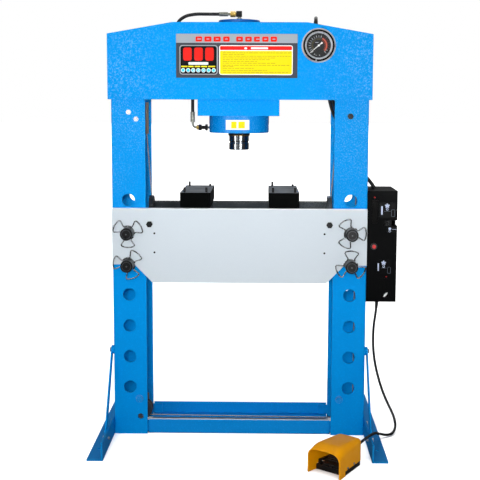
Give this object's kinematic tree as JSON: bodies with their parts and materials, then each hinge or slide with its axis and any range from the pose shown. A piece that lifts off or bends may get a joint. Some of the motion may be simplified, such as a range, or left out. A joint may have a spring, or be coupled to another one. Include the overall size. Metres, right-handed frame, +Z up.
{
  "type": "hydraulic press",
  "caption": "Workshop H-frame hydraulic press: channel columns with pin holes, plate bed on pins, cylinder in the head, side power pack and a corded foot pedal.",
  "frame": {"origin": "middle of the footprint on the floor, measured without the pedal cord", "axes": "+X to the press's right as the operator faces it, +Y to its back, +Z up"},
  "size_m": [1.3887, 1.157, 1.9534],
  "materials": {
    "frame_blue": "semi-gloss bright blue powder coat with a fine orange-peel texture",
    "bed_grey": "smooth light grey paint, slightly blue",
    "guard_black": "glossy black paint",
    "block_steel": "dark burnished steel, dull",
    "pin_steel": "black oxide steel with machining marks",
    "zinc": "bright zinc plate",
    "black_oxide": "black oxide fasteners, satin",
    "hard_chrome": "ground hard chrome",
    "machined_steel": "turned steel",
    "bronze": "bronze bush",
    "seal_rubber": "black rubber",
    "hose_rubber": "black hose cover, satin",
    "rope_steel": "stranded steel wire rope",
    "bracket_paint": "grey-brown primer",
    "pulley_grey": "dark cast iron",
    "gauge_steel": "black bezel with a steel rim",
    "dial_face": "black dial with light marks and a red arc",
    "pointer_white": "white pointer",
    "gauge_glass": "clear flat glass",
    "label_print": "printed sheet-metal plate in dark grey with a yellow field",
    "pack_black": "black fine-texture powder coat",
    "tank_steel": "grey painted steel",
    "motor_grey": "grey motor paint",
    "block_alloy": "machined aluminium",
    "lever_steel": "bright steel lever",
    "button_red": "glossy red plastic",
    "sight_plastic": "smoked level gauge",
    "black_plastic": "matt black plastic",
    "cord_black": "black round cord",
    "pedal_yellow": "yellow-orange enamel",
    "pedal_black": "matt black base",
    "treadle_paint": "dark treadle with a ribbed top"
  },
  "bodies": {
    "frame": {"left_column": "frame_blue", "right_column": "frame_blue", "head_front_plate": "frame_blue", "head_rear_plate": "frame_blue", "cylinder_seat": "frame_blue", "lower_beams": "frame_blue", "left_foot": "frame_blue", "right_foot": "frame_blue", "foot_braces": "frame_blue", "cylinder_body": "frame_blue", "tie_bolts": "frame_blue", "bed_front_plate": "bed_grey", "bed_rear_plate": "bed_grey", "bed_guard": "guard_black", "bed_lugs": "guard_black", "left_press_block": "block_steel", "right_press_block": "block_steel", "cylinder_cap": "frame_blue", "gland_bush": "bronze", "wiper_ring": "seal_rubber", "zinc_bolts": "zinc", "black_bolts": "black_oxide", "hoist_brackets": "bracket_paint", "hoist_pulleys": "pulley_grey", "rope_drum": "pulley_grey", "hoist_ropes": "rope_steel", "gauge_case": "gauge_steel", "gauge_dial": "dial_face", "gauge_glass": "gauge_glass", "label_plate": "label_print", "pack_cabinet": "pack_black", "oil_tank": "tank_steel", "pump_motor": "motor_grey", "valve_block": "block_alloy", "level_gauge": "sight_plastic", "pack_glands": "black_plastic", "top_hose": "hose_rubber", "side_hose": "hose_rubber", "hose_ends": "zinc", "port_fittings": "black_oxide", "pedal_guard": "pedal_yellow", "pedal_base": "pedal_black", "pedal_screws": "zinc", "pedal_cord": "cord_black"},
    "ram_body": {"ram": "hard_chrome", "ram_nose": "hard_chrome", "piston": "machined_steel", "piston_seal": "seal_rubber"},
    "pointer": {"gauge_pointer": "pointer_white"},
    "upper_left_pin_body": {"upper_left_pin": "pin_steel", "upper_left_clip": "zinc"},
    "lower_left_pin_body": {"lower_left_pin": "pin_steel", "lower_left_clip": "zinc"},
    "upper_right_pin_body": {"upper_right_pin": "pin_steel", "upper_right_clip": "zinc"},
    "lower_right_pin_body": {"lower_right_pin": "pin_steel", "lower_right_clip": "zinc"},
    "button": {"start_button": "button_red"},
    "lever": {"valve_lever": "lever_steel"},
    "treadle": {"pedal_treadle": "treadle_paint"}
  },
  "joints": [
    {"name": "ram_stroke", "type": "slide", "parent": "frame", "child": "ram_body", "axis": [0, 0, -1], "range_m": [0, 0.25]},
    {"name": "gauge_needle", "type": "hinge", "parent": "frame", "child": "pointer", "pos_m": [0.3165, -0.0557, 1.7907], "axis": [0, 1, 0], "range_deg": [0, 270], "stiffness_Nm_per_rad": 0.01, "springref_deg": -22.92},
    {"name": "upper_left_pin_pull", "type": "slide", "parent": "frame", "child": "upper_left_pin_body", "axis": [0, -1, 0], "range_m": [0, 0.3]},
    {"name": "lower_left_pin_pull", "type": "slide", "parent": "frame", "child": "lower_left_pin_body", "axis": [0, -1, 0], "range_m": [0, 0.3]},
    {"name": "upper_right_pin_pull", "type": "slide", "parent": "frame", "child": "upper_right_pin_body", "axis": [0, -1, 0], "range_m": [0, 0.3]},
    {"name": "lower_right_pin_pull", "type": "slide", "parent": "frame", "child": "lower_right_pin_body", "axis": [0, -1, 0], "range_m": [0, 0.3]},
    {"name": "start_button_push", "type": "slide", "parent": "frame", "child": "button", "axis": [0, 1, 0], "range_m": [0, 0.004], "stiffness_N_per_m": 800, "springref_m": -0.002},
    {"name": "valve_lever_turn", "type": "hinge", "parent": "frame", "child": "lever", "pos_m": [0.639, 0.0073, 0.979], "axis": [0, 1, 0], "range_deg": [-10, 10]},
    {"name": "treadle_press", "type": "hinge", "parent": "frame", "child": "treadle", "pos_m": [0.37715, -0.46631, 0.03], "axis": [-0.7986, 0.6018, 0], "range_deg": [0, 10], "stiffness_Nm_per_rad": 8, "springref_deg": -8.59}
  ]
}
